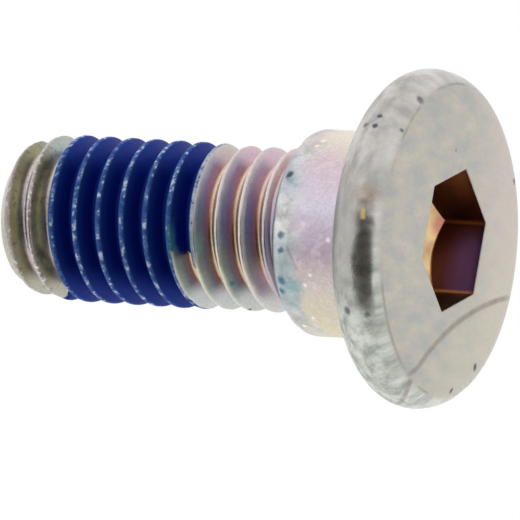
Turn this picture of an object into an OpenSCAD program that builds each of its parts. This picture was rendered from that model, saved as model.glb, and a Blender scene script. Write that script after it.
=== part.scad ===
// Brake disc screw: a low round head with a hexagon socket, a plain shoulder that
// centres the disc, a short neck and a metric thread with a band of dried thread lock.
// It stands on its head: +Z runs from the head's face to the tip. Sizes in mm.

/* [Head] */
// Diameter of the head
head_d = 16; // [13:0.5:20]
// Height of the head, from its face to its seat
head_h = 3; // [2.4:0.1:4]
// Radius of the rounded rim, on both sides
rim_r = 1.45; // [0.3:0.05:1.8]
// Fillet between the seat and the shoulder
seat_fillet_r = 0.25; // [0.1:0.05:0.5]

/* [Hexagon socket] */
// Width across the flats
socket_af = 6.05; // [5:0.05:6.5]
// Depth of the wall at the middle of each flat
socket_wall_h = 2.6; // [1.8:0.1:3]
// Included angle of the conical bottom
socket_cone_angle = 100; // [90:1:130]

/* [Shoulder] */
// Diameter of the plain shoulder
shoulder_d = 9.8; // [9:0.1:12]
// Length of the shoulder under the head
shoulder_len = 4.4; // [3.5:0.1:6]
// Rounding where the disc slides on
shoulder_lead_r = 0.65; // [0.2:0.05:0.8]

/* [Neck] */
// Diameter of the plain neck before the thread
neck_d = 7.25; // [6.9:0.05:7.4]
// Length of the neck
neck_len = 0.6; // [0.5:0.1:3]
// Fillet between the neck and the shoulder
neck_fillet_r = 0.3; // [0.1:0.05:0.6]

/* [Thread] */
// Diameter over the crests
thread_d = 7.8; // [7.6:0.05:8.2]
// Rise of the thread in one turn
pitch = 1.25; // [1:0.05:1.5]
// Length of the screw under the head
under_head_len = 19.6; // [17:0.1:30]
// Turns over which the ridge fades out at the neck
runout_turns = 0.75; // [0.5:0.25:2]
// Angle from a socket corner at which the crest would start on the head's face
thread_start_angle = 133; // [0:1:359]
// Steps in one turn
thread_steps = 36; // [24:2:48]

/* [Tip] */
// Diameter of the flat end
tip_d = 5.8; // [5:0.1:6.2]
// Diameter where the end chamfer meets the thread
tip_chamfer_d = 7.1; // [6.8:0.1:7.4]
// Height of the end chamfer
tip_chamfer_h = 0.45; // [0.2:0.05:0.8]
// Half angle of the lead-in taper over the first crests
tip_taper_angle = 15; // [8:1:20]

/* [Thread lock] */
// Thickness of the dried film
coat_t = 0.07; // [0.04:0.01:0.12]
// Bare length between the film and the tip
coat_from_tip = 2.3; // [1.6:0.1:4]
// How far the film reaches along the screw
coat_len = 7.2; // [4:0.1:8.5]

/* [Hidden] */
$fn = 96;
eps = 0.02;

head_r = head_d / 2;
rim = min(rim_r, head_h / 2 - eps);
shoulder_r = shoulder_d / 2;
shoulder_end = head_h + shoulder_len;
neck_r = neck_d / 2;
neck_end = shoulder_end + neck_len;
lead_r = min(shoulder_lead_r, shoulder_r - neck_r - neck_fillet_r - eps);
tip_z = head_h + under_head_len;

// Socket: the cone is kept a little wider than the corners
socket_corner_r = socket_af / sqrt(3);
socket_slope = 1 / tan(socket_cone_angle / 2);
socket_apex = socket_wall_h + socket_slope * socket_af / 2;
socket_wide_r = socket_corner_r + 0.5;

// Thread form: 60 degree flanks, crest flat an eighth and root flat a sixth of the pitch
flank_tan = tan(30);
crest_flat = pitch / 8;
root_flat = pitch / 6;
flank_run = (pitch - crest_flat - root_flat) / 2;
crest_r = thread_d / 2;
root_r = crest_r - flank_run / flank_tan;
corner_axial = [-(crest_flat / 2 + flank_run + root_flat), -(crest_flat / 2 + flank_run),
    -crest_flat / 2, crest_flat / 2];
corner_side = [1, -1, -1, 1];
root_below = crest_flat / 2 + flank_run + root_flat;

// Steps of the ridge, counted from the head's face; it starts inside the shoulder
rod_from = neck_end - 1.8;
first_step = ceil((rod_from + root_below + 0.05) / pitch * thread_steps);
last_step = ceil((tip_z + pitch) / pitch * thread_steps);
coat_last = floor((tip_z - coat_from_tip - pitch) / pitch * thread_steps);
coat_first = coat_last - round(coat_len / pitch * thread_steps);

// Height of the ridge at a step, from the run-out to the full form
function ridge(step) =
    min(1, 0.08 + 0.92 * (step - first_step) / (runout_turns * thread_steps));

// A corner of the thread form at a step, raised off the metal by lift
function thread_point(step, corner, lift = 0) =
    let (
        angle = thread_start_angle + 360 * step / thread_steps,
        r = (corner < 2 ? root_r : root_r + ridge(step) * (crest_r - root_r)) + lift,
        z = pitch * step / thread_steps + corner_axial[corner]
            + lift * flank_tan * corner_side[corner]
    )
    [r * cos(angle), r * sin(angle), z];

// A ring of plain points under or over the ridge
function ring_points(step, z) =
    [for (k = [0 : thread_steps - 1])
        let (angle = thread_start_angle + 360 * (step + k) / thread_steps)
        [root_r * cos(angle), root_r * sin(angle), z]];

// Place of a corner in a list of points, four to a step; corner 4 is one turn on
function at(k, corner) =
    corner < 4 ? 4 * k + corner : 4 * (k + thread_steps);

// Outer faces over a count of steps, from one corner of the form to another
function ridge_faces(count, last = 3, first = 0) =
    [for (k = [0 : count - 1], c = [first : last], half = [0, 1])
        half == 0
            ? [at(k, c), at(k, c + 1), at(k + 1, c + 1)]
            : [at(k, c), at(k + 1, c + 1), at(k + 1, c)]];

function turned(faces) =
    [for (f = faces) [for (i = [len(f) - 1 : -1 : 0]) f[i]]];

function moved(faces, by) =
    [for (f = faces) [for (i = f) i + by]];

// Head, shoulder and neck as one turned outline
module blank_outline() {
    translate([0, rim])
        square([head_r, head_h - 2 * rim]);
    square([head_r - rim, head_h]);
    translate([head_r - rim, rim])
        circle(rim);
    translate([head_r - rim, head_h - rim])
        circle(rim);
    translate([0, head_h - eps])
        square([shoulder_r, shoulder_len - lead_r + eps]);
    translate([0, head_h - eps])
        square([shoulder_r - lead_r, shoulder_len + eps]);
    translate([shoulder_r - lead_r, shoulder_end - lead_r])
        circle(lead_r);
    inside_fillet(shoulder_r, head_h, seat_fillet_r);
    inside_fillet(neck_r, shoulder_end, neck_fillet_r);
    polygon([
        [0, shoulder_end - eps],
        [neck_r, shoulder_end - eps],
        [neck_r, neck_end],
        [root_r - 0.1, neck_end + neck_r - root_r + 0.1],
        [0, neck_end + neck_r - root_r + 0.1]
    ]);
}

// Fillet in the corner between a wall at radius r and a floor at z
module inside_fillet(r, z, fillet) {
    difference() {
        translate([r - eps, z - eps])
            square(fillet + eps);
        translate([r + fillet, z + fillet])
            circle(fillet);
    }
}

// Hexagon socket, open at the head's face, with the cone that the punch leaves
module socket() {
    intersection() {
        translate([0, 0, -1])
            cylinder(r = socket_corner_r, h = socket_apex + 2, $fn = 6);
        rotate_extrude()
            polygon([
                [0, -2],
                [socket_wide_r, -2],
                [socket_wide_r, socket_apex - socket_slope * socket_wide_r],
                [0, socket_apex]
            ]);
    }
}

// Threaded rod, longer than the screw: the ridge with a plain ring at each end
module threaded_rod() {
    n = thread_steps;
    count = last_step - first_step;
    body = [for (s = [first_step : last_step + n], c = [0 : 3]) thread_point(s, c)];
    low = len(body);
    high = low + n;
    points = concat(
        body,
        ring_points(first_step, rod_from),
        ring_points(last_step, tip_z + 4 * pitch)
    );
    low_wall = [for (k = [0 : n - 2])
        [low + k, at(k, 0), at(k + 1, 0), low + k + 1]];
    low_join = [low + n - 1, at(n - 1, 0), at(n, 0), at(0, 1), at(0, 0), low];
    high_wall = [for (k = [1 : n - 1])
        [at(count + k, 0), high + k, high + (k + 1) % n, at(count + k + 1, 0)]];
    high_join = [high + 1, at(count + 1, 0), at(count, 0), at(count, 1), at(count, 4), high];
    polyhedron(
        points = points,
        faces = concat(
            ridge_faces(count),
            low_wall,
            high_wall,
            [
                low_join,
                high_join,
                [at(0, 1), at(0, 4), at(0, 3), at(0, 2)],
                [at(count, 1), at(count, 2), at(count, 3), at(count, 4)],
                [for (k = [0 : n - 1]) low + k],
                [for (k = [n - 1 : -1 : 0]) high + k]
            ]
        ),
        convexity = 12
    );
}

// Space that the tapered, chamfered end leaves for the thread
module tip_envelope() {
    wide_r = crest_r + 0.7;
    taper_h = (wide_r - tip_chamfer_d / 2) / tan(tip_taper_angle);
    rotate_extrude()
        polygon([
            [0, rod_from - 1],
            [wide_r, rod_from - 1],
            [wide_r, tip_z - tip_chamfer_h - taper_h],
            [tip_chamfer_d / 2, tip_z - tip_chamfer_h],
            [tip_d / 2, tip_z],
            [0, tip_z]
        ]);
}

// The screw, one piece of plated steel
module screw() {
    color([0.76, 0.74, 0.69])
        difference() {
            union() {
                rotate_extrude()
                    blank_outline();
                intersection() {
                    threaded_rod();
                    tip_envelope();
                }
            }
            socket();
        }
}

// A corner of the film: one groove at a step, from a crest to the crest one turn on
function groove_point(step, corner, lift) =
    corner == 0
        ? thread_point(step, 3, lift)
        : thread_point(step + thread_steps, corner - 1, lift);

// Film of dried thread lock that follows the grooves and joins over the crests between them
module thread_lock() {
    n = thread_steps;
    count = coat_last - coat_first;
    steps = [coat_first : coat_last];
    outer = [for (s = steps, c = [0 : 3]) groove_point(s, c, coat_t)];
    inner = [for (s = steps, c = [0 : 3]) groove_point(s, c, 0)];
    by = len(outer);
    skin = concat(ridge_faces(count, 2), ridge_faces(count - n, 3, 3));
    low_edge = [for (k = [0 : n - 1])
        [at(k, 0), at(k + 1, 0), by + at(k + 1, 0), by + at(k, 0)]];
    high_edge = [for (k = [count - n : count - 1])
        [at(k, 3), by + at(k, 3), by + at(k + 1, 3), at(k + 1, 3)]];
    start_edge = [for (c = [0 : 3])
        [at(0, c), by + at(0, c), by + at(0, c + 1), at(0, c + 1)]];
    end_groove = [for (c = [0 : 2])
        [at(count, c), at(count, c + 1), by + at(count, c + 1), by + at(count, c)]];
    end_crest = [at(count - n, 3), at(count, 0), by + at(count, 0), by + at(count - n, 3)];
    color([0.08, 0.13, 0.38])
        polyhedron(
            points = concat(outer, inner),
            faces = concat(
                skin,
                moved(turned(skin), by),
                low_edge,
                high_edge,
                start_edge,
                end_groove,
                [end_crest]
            ),
            convexity = 12
        );
}

screw();
thread_lock();
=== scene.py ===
"""Visual model of a brake disc screw: plated steel with a band of dried thread lock."""

from __future__ import annotations

import logging
import math
from collections.abc import Callable, Sequence
from dataclasses import dataclass, field
from enum import Enum
from typing import Any

import bmesh
import bpy
from mathutils import Matrix, Vector, noise


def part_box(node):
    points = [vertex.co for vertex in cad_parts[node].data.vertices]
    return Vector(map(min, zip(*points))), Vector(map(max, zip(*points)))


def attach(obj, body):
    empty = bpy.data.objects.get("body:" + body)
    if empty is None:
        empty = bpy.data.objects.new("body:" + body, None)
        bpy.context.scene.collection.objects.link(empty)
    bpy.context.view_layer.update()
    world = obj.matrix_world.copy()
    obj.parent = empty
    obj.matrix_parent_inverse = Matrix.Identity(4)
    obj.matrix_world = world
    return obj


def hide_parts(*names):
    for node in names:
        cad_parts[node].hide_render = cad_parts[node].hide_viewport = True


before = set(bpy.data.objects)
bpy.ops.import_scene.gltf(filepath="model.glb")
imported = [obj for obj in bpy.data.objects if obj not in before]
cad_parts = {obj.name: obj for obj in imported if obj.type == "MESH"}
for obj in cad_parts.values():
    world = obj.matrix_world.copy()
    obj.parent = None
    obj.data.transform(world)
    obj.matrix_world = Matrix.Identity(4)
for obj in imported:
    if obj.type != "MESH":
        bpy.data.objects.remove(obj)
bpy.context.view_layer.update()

log = logging.getLogger("brake_disc_screw")

MM = 0.001
TINY = 1e-4
SCREW_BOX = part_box("screw")
HEAD_R = SCREW_BOX[1].x / MM
TIP_Z = SCREW_BOX[1].z / MM

Point = tuple[float, float]
Colour = tuple[float, float, float]
Stops = tuple[tuple[float, Colour], ...]
Feed = Any


class Side(Enum):
    """Which side of a cutting plane is kept."""

    BELOW = "below"
    ABOVE = "above"


def rgb(red: float, green: float, blue: float) -> Colour:
    """Turn a colour as seen on screen, 0 to 255, into the linear one that shaders use."""
    seen = (red, green, blue)
    return tuple(((v / 255.0 + 0.055) / 1.055) ** 2.4 if v > 10.3 else v / 3294.6 for v in seen)


def stops(*rows: tuple[float, float, float, float]) -> Stops:
    """Places from 0 to 1 for a colour ramp, each with its colour as seen on screen."""
    return tuple((place, rgb(red, green, blue)) for place, red, green, blue in rows)


def smooth(low: float, high: float, value: float) -> float:
    """Ease from 0 at low to 1 at high."""
    t = min(1.0, max(0.0, (value - low) / (high - low)))
    return t * t * (3.0 - 2.0 * t)


def arc(centre: Point, radius: float, start: float, end: float, count: int) -> list[Point]:
    """Points on a round stretch of an outline.

    Args:
        centre: Radius and height of the arc's centre.
        radius: Radius of the arc.
        start: Angle of the first point in degrees, 0 pointing outwards and 90 up.
        end: Angle of the last point in degrees.
        count: How many steps the arc takes.

    Returns:
        The points in order.
    """
    angles = [math.radians(start + (end - start) * i / count) for i in range(count + 1)]
    return [(centre[0] + radius * math.cos(a), centre[1] + radius * math.sin(a)) for a in angles]


def eased(points: Sequence[Point], cuts: Sequence[float], count: int = 5) -> list[Point]:
    """Round the inner corners of an outline.

    Args:
        points: Corners of the outline in order.
        cuts: How far back along its sides each inner corner starts to turn.
        count: Steps in each rounding.

    Returns:
        The outline with its corners rounded.
    """
    line = [points[0]]
    for before, corner, after, cut in zip(points, points[1:], points[2:], cuts):
        middle = Vector(corner)
        start = middle + (Vector(before) - middle).normalized() * cut
        end = middle + (Vector(after) - middle).normalized() * cut
        for k in range(count + 1):
            t = k / count
            line.append(tuple(start * (1 - t) ** 2 + middle * 2 * t * (1 - t) + end * t * t))
    return [*line, points[-1]]


def stepped(points: Sequence[Point], step: float) -> list[Point]:
    """Add points to an outline so that none lie further apart than a step.

    Args:
        points: The outline in order.
        step: The largest gap.

    Returns:
        The outline with its added points.
    """
    line = [points[0]]
    for last, point in zip(points, points[1:]):
        count = max(1, math.ceil(math.dist(last, point) / step))
        for k in range(1, count + 1):
            line.append(tuple(Vector(last).lerp(Vector(point), k / count)))
    return line


class Bench:
    """The modelling tools, each used as by hand. Pieces are modelled in millimetres."""

    @staticmethod
    def clear() -> None:
        """Leave edit mode and deselect everything."""
        if bpy.context.object and bpy.context.object.mode != "OBJECT":
            bpy.ops.object.mode_set(mode="OBJECT")
        bpy.ops.object.select_all(action="DESELECT")

    @staticmethod
    def take(obj: bpy.types.Object) -> None:
        """Make one object the only selected and active one.

        Args:
            obj: The object.
        """
        Bench.clear()
        obj.select_set(True)
        bpy.context.view_layer.objects.active = obj

    @staticmethod
    def edit(obj: bpy.types.Object, test: Callable[[Vector], bool] | None = None) -> None:
        """Open a piece in edit mode with some of its points selected.

        Args:
            obj: The piece.
            test: Says by its place whether a point is selected; all are without it.
        """
        Bench.take(obj)
        bpy.ops.object.mode_set(mode="EDIT")
        bpy.ops.mesh.select_mode(type="VERT")
        bpy.ops.mesh.select_all(action="SELECT" if test is None else "DESELECT")
        if test is not None:
            mesh = bmesh.from_edit_mesh(obj.data)
            for vert in mesh.verts:
                vert.select_set(test(vert.co))
            mesh.select_flush(True)
            bmesh.update_edit_mesh(obj.data)

    @staticmethod
    def outline(name: str, points: Sequence[Point]) -> bpy.types.Object:
        """Draw an open outline in the plane of X and Z.

        Args:
            name: Name of the new piece.
            points: Radius and height of each point.

        Returns:
            The piece, still a line.
        """
        Bench.clear()
        bpy.ops.mesh.primitive_plane_add(size=1.0)
        obj = bpy.context.object
        obj.name = obj.data.name = name
        Bench.edit(obj)
        bpy.ops.mesh.merge(type="CENTER")
        bpy.ops.transform.translate(value=(points[0][0], 0.0, points[0][1]))
        for last, point in zip(points, points[1:]):
            step = (point[0] - last[0], 0.0, point[1] - last[1])
            bpy.ops.mesh.extrude_vertices_move(TRANSFORM_OT_translate={"value": step})
        Bench.clear()
        return obj

    @staticmethod
    def spin(obj: bpy.types.Object, steps: int) -> None:
        """Turn an outline once round the screw's axis and close the seam.

        Args:
            obj: The outline.
            steps: Steps in the turn.
        """
        Bench.edit(obj)
        bpy.ops.mesh.spin(steps=steps, angle=math.tau, center=(0.0, 0.0, 0.0), axis=(0.0, 0.0, 1.0))
        Bench.weld(obj)

    @staticmethod
    def wind(obj: bpy.types.Object, rise: float, turns: float, steps: int) -> None:
        """Wind an outline up the screw's axis.

        Args:
            obj: The outline, as long as the rise.
            rise: How far one turn climbs.
            turns: How many turns it takes.
            steps: Steps in one turn.
        """
        Bench.take(obj)
        screw = obj.modifiers.new("turns", "SCREW")
        screw.axis = "Z"
        screw.angle = math.tau * turns
        screw.screw_offset = rise * turns
        screw.steps = screw.render_steps = round(steps * turns)
        screw.iterations = 1
        bpy.ops.object.modifier_apply(modifier=screw.name)
        Bench.weld(obj)

    @staticmethod
    def weld(obj: bpy.types.Object) -> None:
        """Merge points that meet and turn all faces outwards.

        Args:
            obj: The piece.
        """
        Bench.edit(obj)
        bpy.ops.mesh.remove_doubles(threshold=TINY)
        bpy.ops.mesh.normals_make_consistent(inside=False)
        Bench.clear()

    @staticmethod
    def shape(obj: bpy.types.Object, move: Callable[[Vector, Vector], Vector]) -> None:
        """Move every point of a piece by a rule on its place and its normal.

        Args:
            obj: The piece.
            move: Gives the new place.
        """
        places = [move(vert.co.copy(), vert.normal.copy()) for vert in obj.data.vertices]
        for vert, place in zip(obj.data.vertices, places):
            vert.co = place
        obj.data.update()

    @staticmethod
    def cut(obj: bpy.types.Object, height: float, keep: Side) -> None:
        """Cut a piece off square and close the end.

        Args:
            obj: The piece.
            height: Where the cut lies along the axis.
            keep: Which side of the cut stays.
        """
        Bench.edit(obj)
        bpy.ops.mesh.bisect(
            plane_co=(0.0, 0.0, height),
            plane_no=(0.0, 0.0, 1.0),
            use_fill=True,
            clear_outer=keep is Side.BELOW,
            clear_inner=keep is Side.ABOVE,
            threshold=TINY,
        )
        Bench.clear()

    @staticmethod
    def remove(obj: bpy.types.Object, test: Callable[[Vector], bool]) -> None:
        """Delete the faces whose points all pass a test on their place.

        Args:
            obj: The piece.
            test: Says by its place whether a point goes.
        """
        Bench.edit(obj, test)
        bpy.ops.mesh.delete(type="FACE")
        bpy.ops.mesh.select_all(action="SELECT")
        bpy.ops.mesh.delete_loose()
        Bench.clear()

    @staticmethod
    def unite(obj: bpy.types.Object, other: bpy.types.Object) -> None:
        """Make one solid of two and drop the second.

        Args:
            obj: The piece that stays.
            other: The piece that joins it.
        """
        Bench.take(obj)
        union = obj.modifiers.new("union", "BOOLEAN")
        union.operation = "UNION"
        union.solver = "EXACT"
        union.object = other
        bpy.ops.object.modifier_apply(modifier=union.name)
        bpy.data.objects.remove(other)

    @staticmethod
    def thicken(obj: bpy.types.Object, depth: float) -> None:
        """Give a sheet its thickness, inwards.

        Args:
            obj: The sheet.
            depth: Its thickness.
        """
        Bench.take(obj)
        wall = obj.modifiers.new("wall", "SOLIDIFY")
        wall.thickness = depth
        wall.offset = -1.0
        bpy.ops.object.modifier_apply(modifier=wall.name)

    @staticmethod
    def finish(obj: bpy.types.Object, angle: float, material: bpy.types.Material) -> None:
        """Bring a piece to metres, shade it smooth up to an angle in degrees and dress it.

        Args:
            obj: The piece.
            angle: Sharpest edge that is shaded smooth.
            material: Its finish.
        """
        Bench.take(obj)
        obj.scale = (MM, MM, MM)
        bpy.ops.object.transform_apply(location=True, rotation=True, scale=True)
        bpy.ops.object.shade_smooth_by_angle(angle=math.radians(angle))
        obj.data.materials.clear()
        obj.data.materials.append(material)
        Bench.clear()


class Num:
    """A number in a shader, whose arithmetic adds Math nodes."""

    def __init__(self, graph: Graph, socket: bpy.types.NodeSocket) -> None:
        """Wrap a socket of a graph."""
        self.graph = graph
        self.socket = socket

    def __add__(self, other: Num | float) -> Num:
        """Sum."""
        return self.graph.math("ADD", self, other)

    def __radd__(self, other: float) -> Num:
        """Sum, the other way round."""
        return self.graph.math("ADD", other, self)

    def __sub__(self, other: Num | float) -> Num:
        """Difference."""
        return self.graph.math("SUBTRACT", self, other)

    def __rsub__(self, other: float) -> Num:
        """Difference, the other way round."""
        return self.graph.math("SUBTRACT", other, self)

    def __mul__(self, other: Num | float) -> Num:
        """Product."""
        return self.graph.math("MULTIPLY", self, other)

    def __rmul__(self, other: float) -> Num:
        """Product, the other way round."""
        return self.graph.math("MULTIPLY", other, self)

    def __truediv__(self, other: Num | float) -> Num:
        """Quotient."""
        return self.graph.math("DIVIDE", self, other)

    def __abs__(self) -> Num:
        """Size without its sign."""
        return self.graph.math("ABSOLUTE", self)

    def ease(self, low: float, high: float) -> Num:
        """Ease from 0 at low to 1 at high; low may be the larger, for a fall.

        Args:
            low: Value that gives 0.
            high: Value that gives 1.

        Returns:
            The eased value.
        """
        start, end = (0.0, 1.0) if low < high else (1.0, 0.0)
        made = self.graph.node(
            "ShaderNodeMapRange",
            {"interpolation_type": "SMOOTHSTEP"},
            {0: self, 1: min(low, high), 2: max(low, high), 3: start, 4: end},
        )
        return Num(self.graph, made.outputs[0])

    def band(self, low: float, high: float, soft: float) -> Num:
        """1 between two values, with soft edges of a given width."""
        return self.ease(low - soft / 2, low + soft / 2) * self.ease(high + soft / 2, high - soft / 2)


class Graph:
    """A node tree and the few ways in which nodes are added to it."""

    def __init__(self, tree: bpy.types.NodeTree) -> None:
        """Take a tree and empty it."""
        self.tree = tree
        tree.nodes.clear()

    def node(
        self, kind: str, settings: dict[str, Any] | None = None, feeds: dict[Any, Feed] | None = None
    ) -> bpy.types.Node:
        """Add a node.

        Args:
            kind: Blender's type name of the node.
            settings: Options that are set first; stops fills a colour ramp.
            feeds: Values or links of its input sockets, by name or number.

        Returns:
            The new node.
        """
        made = self.tree.nodes.new(kind)
        for name, value in (settings or {}).items():
            if name == "stops":
                self._stops(made.color_ramp, value)
            else:
                setattr(made, name, value)
        for key, feed in (feeds or {}).items():
            socket = made.inputs[key]
            if isinstance(feed, Num):
                self.tree.links.new(feed.socket, socket)
            elif isinstance(feed, bpy.types.NodeSocket):
                self.tree.links.new(feed, socket)
            elif socket.type == "RGBA":
                socket.default_value = (*feed, 1.0)
            else:
                socket.default_value = feed
        return made

    @staticmethod
    def _stops(ramp: bpy.types.ColorRamp, stops: Sequence[tuple[float, Colour]]) -> None:
        """Fill a colour ramp with places and colours.

        Args:
            ramp: The ramp.
            stops: Its places and colours in order.
        """
        while len(ramp.elements) < len(stops):
            ramp.elements.new(1.0)
        for element, (place, colour) in zip(ramp.elements, stops):
            element.position = place
            element.color = (*colour, 1.0)

    def math(self, operation: str, *values: Num | float) -> Num:
        """Add a Math node on one or more values."""
        made = self.node("ShaderNodeMath", {"operation": operation}, dict(enumerate(values)))
        return Num(self, made.outputs[0])

    def mix(self, share: Num | float, first: Feed, second: Feed, blend: str = "MIX") -> Feed:
        """Mix two colours.

        Args:
            share: How much of the second shows.
            first: Colour or link.
            second: Colour or link.
            blend: Blender's name of the blend.

        Returns:
            The mixed colour's socket.
        """
        made = self.node(
            "ShaderNodeMix", {"data_type": "RGBA", "blend_type": blend}, {0: share, 6: first, 7: second}
        )
        return made.outputs[2]

    def ramp(self, value: Num, stops: Sequence[tuple[float, Colour]]) -> Feed:
        """Colour along a value from 0 to 1."""
        return self.node("ShaderNodeValToRGB", {"stops": stops}, {0: value}).outputs[0]

    def noise(self, place: Feed, scale: float, detail: float = 3.0, rough: float = 0.55) -> Num:
        """Cloudy noise around 0.5 with so many lumps to a millimetre.

        Args:
            place: Vector to read.
            scale: Lumps to a millimetre.
            detail: Finer layers.
            rough: How strong the finer layers are.

        Returns:
            The noise.
        """
        feeds = {"Vector": place, "Scale": scale, "Detail": detail, "Roughness": rough}
        made = self.node("ShaderNodeTexNoise", None, feeds)
        return Num(self, made.outputs[0])

    def tint(self, place: Feed, scale: float) -> Feed:
        """Soft spots of mixed colour around a middle grey, so many to a millimetre."""
        return self.node("ShaderNodeTexNoise", None, {"Vector": place, "Scale": scale}).outputs[1]

    def dots(self, place: Feed, scale: float) -> Num:
        """Distance to the nearest of scattered points, in shares of their spacing."""
        made = self.node("ShaderNodeTexVoronoi", None, {"Vector": place, "Scale": scale})
        return Num(self, made.outputs["Distance"])


@dataclass(frozen=True)
class ThreadForm:
    """The thread's section and its place on the axis. Sizes in millimetres."""

    pitch: float = 1.25
    start_deg: float = 133.0
    crest_r: float = 3.9
    crest_share: float = 1 / 8
    root_share: float = 1 / 6
    flank_deg: float = 30.0
    crest_ease: float = 0.06
    root_ease: float = 0.09

    @property
    def flank(self) -> float:
        """Length of a flank along the axis."""
        return self.pitch * (1 - self.crest_share - self.root_share) / 2

    @property
    def root_r(self) -> float:
        """Radius of the root."""
        return self.crest_r - self.flank / math.tan(math.radians(self.flank_deg))

    def crest_z(self, turns: float) -> float:
        """Height of the crest after so many turns from where angle 0 meets the head's face."""
        return self.pitch * (turns - self.start_deg / 360.0)

    def phase(self, co: Vector) -> float:
        """Turns up the thread at a place: whole on every crest, a half in every root."""
        return co.z / self.pitch - math.atan2(co.y, co.x) / math.tau + self.start_deg / 360.0

    def groove(self, base: float) -> list[Point]:
        """Section of one groove, from a crest at height base to the next.

        Args:
            base: Height of the first crest.

        Returns:
            Radius and height of each point.
        """
        half_crest = self.pitch * self.crest_share / 2
        crest, root = self.crest_r, self.root_r
        corners = [
            (crest, base),
            (crest, base + half_crest),
            (root, base + half_crest + self.flank),
            (root, base + self.pitch - half_crest - self.flank),
            (crest, base + self.pitch - half_crest),
            (crest, base + self.pitch),
        ]
        return eased(corners, (self.crest_ease, self.root_ease, self.root_ease, self.crest_ease))


@dataclass
class Place:
    """Where a shaded point lies on the screw, in millimetres, as values in a graph."""

    graph: Graph
    form: ThreadForm
    vector: Feed = field(init=False)
    x: Num = field(init=False)
    y: Num = field(init=False)
    z: Num = field(init=False)
    r: Num = field(init=False)
    angle: Num = field(init=False)
    across: Num = field(init=False)
    cloud: Num = field(init=False)
    mottle: Num = field(init=False)
    grain: Num = field(init=False)

    def __post_init__(self) -> None:
        """Add the nodes that measure the place."""
        g = self.graph
        coords = g.node("ShaderNodeTexCoord").outputs["Object"]
        scaled = g.node("ShaderNodeVectorMath", {"operation": "SCALE"}, {0: coords, "Scale": 1.0 / MM})
        self.vector = scaled.outputs[0]
        parts = g.node("ShaderNodeSeparateXYZ", None, {0: self.vector})
        self.x, self.y, self.z = (Num(g, out) for out in parts.outputs)
        self.r = g.math("SQRT", self.x * self.x + self.y * self.y)
        self.angle = g.math("ARCTAN2", self.y, self.x)
        turns = self.z / self.form.pitch - self.angle / math.tau + (self.form.start_deg / 360.0 + 0.5)
        self.across = g.math("FRACT", turns)
        self.cloud = g.noise(self.vector, 0.8, 4.0)
        self.mottle = g.noise(self.vector, 2.4, 3.0)
        self.grain = g.noise(self.vector, 7.0, 3.0, 0.65)

    def _measure(self, operation: str, other: Sequence[float]) -> Num:
        """Vector Math with one number as its result.

        Args:
            operation: Blender's name of the operation.
            other: The second vector.

        Returns:
            The result.
        """
        made = self.graph.node(
            "ShaderNodeVectorMath", {"operation": operation}, {0: self.vector, 1: tuple(other)}
        )
        return Num(self.graph, made.outputs["Value"])

    def near(self, spot: Sequence[float]) -> Num:
        """Distance to a spot."""
        return self._measure("DISTANCE", spot)

    def along(self, x: float, y: float, z: float) -> Num:
        """Distance from the origin along a direction of length one."""
        return self._measure("DOT_PRODUCT", (x, y, z))

    def towards(self, degrees: float) -> Num:
        """Cosine of the angle round the axis from a direction."""
        a = math.radians(degrees)
        return self.along(math.cos(a), math.sin(a), 0.0) / self.r

    def drawn_round(self, scale: float, fine: float) -> Feed:
        """The place drawn out round the axis, for marks that run with a turned surface.

        Args:
            scale: How many lumps a radian has.
            fine: How many lumps a millimetre has across the marks.

        Returns:
            The vector's socket.
        """
        parts = {0: self.x / self.r * scale, 1: self.y / self.r * scale, 2: (self.z - self.r) * fine}
        return self.graph.node("ShaderNodeCombineXYZ", None, parts).outputs[0]


@dataclass(frozen=True)
class Socket:
    """The hexagon socket: a corner on +X, a small lip and a conical bottom. Sizes in millimetres."""

    flats: float = 6.05
    wall: float = 2.6
    cone_deg: float = 100.0
    lip: float = 0.09
    margin: float = 0.06

    @property
    def corner_r(self) -> float:
        """Radius of the corners."""
        return self.flats / math.sqrt(3.0)

    @property
    def slope(self) -> float:
        """Rise of the cone for each millimetre of radius."""
        return 1.0 / math.tan(math.radians(self.cone_deg / 2))

    @property
    def apex(self) -> float:
        """Depth of the cone's point."""
        return self.wall + self.slope * self.flats / 2

    def spread(self, offset: float) -> float:
        """Corner radius of the hexagon that lies an offset outside the walls."""
        return self.corner_r + offset / math.cos(math.pi / 6)

    def outline(self) -> list[Point]:
        """Outline of a round bore with the corners' radius, from the cone's point to the face.

        Returns:
            Radius and height of each point.
        """
        line = []
        for share in (0.0, 0.04, 0.15, 0.3, 0.45, 0.6, 0.75, 0.88, 1.0):
            r = share * self.corner_r
            line.append((r, self.apex - self.slope * r))
        edge = line[-1][1]
        line += [(self.corner_r, edge + (self.lip - edge) * t) for t in (0.3, 0.6, 0.85)]
        for k in range(6):
            a = math.radians(18.0 * k)
            line.append((self.spread(self.lip * (1 - math.cos(a))), self.lip * (1 - math.sin(a))))
        line.append((self.spread(self.lip + self.margin), 0.0))
        return line

    def press(self, co: Vector) -> Vector:
        """Press the round bore into a hexagon that runs down to the cone.

        Args:
            co: A point of the round bore.

        Returns:
            Its place on the hexagon.
        """
        r = math.hypot(co.x, co.y)
        if r < TINY or r > self.spread(self.lip + self.margin) + TINY or co.z > self.apex:
            return co
        flat = math.cos(math.pi / 6) / math.cos(math.atan2(co.y, co.x) % (math.pi / 3) - math.pi / 6)
        share = min(1.0, r / self.corner_r)
        wide = r * (1.0 + share**2 * (flat - 1.0))
        z = co.z
        if z > self.lip + TINY:
            edge = self.apex - self.slope * self.corner_r
            floor = self.apex - self.slope * wide
            stretch = (floor - self.lip) / (edge - self.lip)
            z = floor if share < 1.0 - TINY else self.lip + (z - self.lip) * stretch
        return Vector((co.x * wide / r, co.y * wide / r, z))


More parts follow.
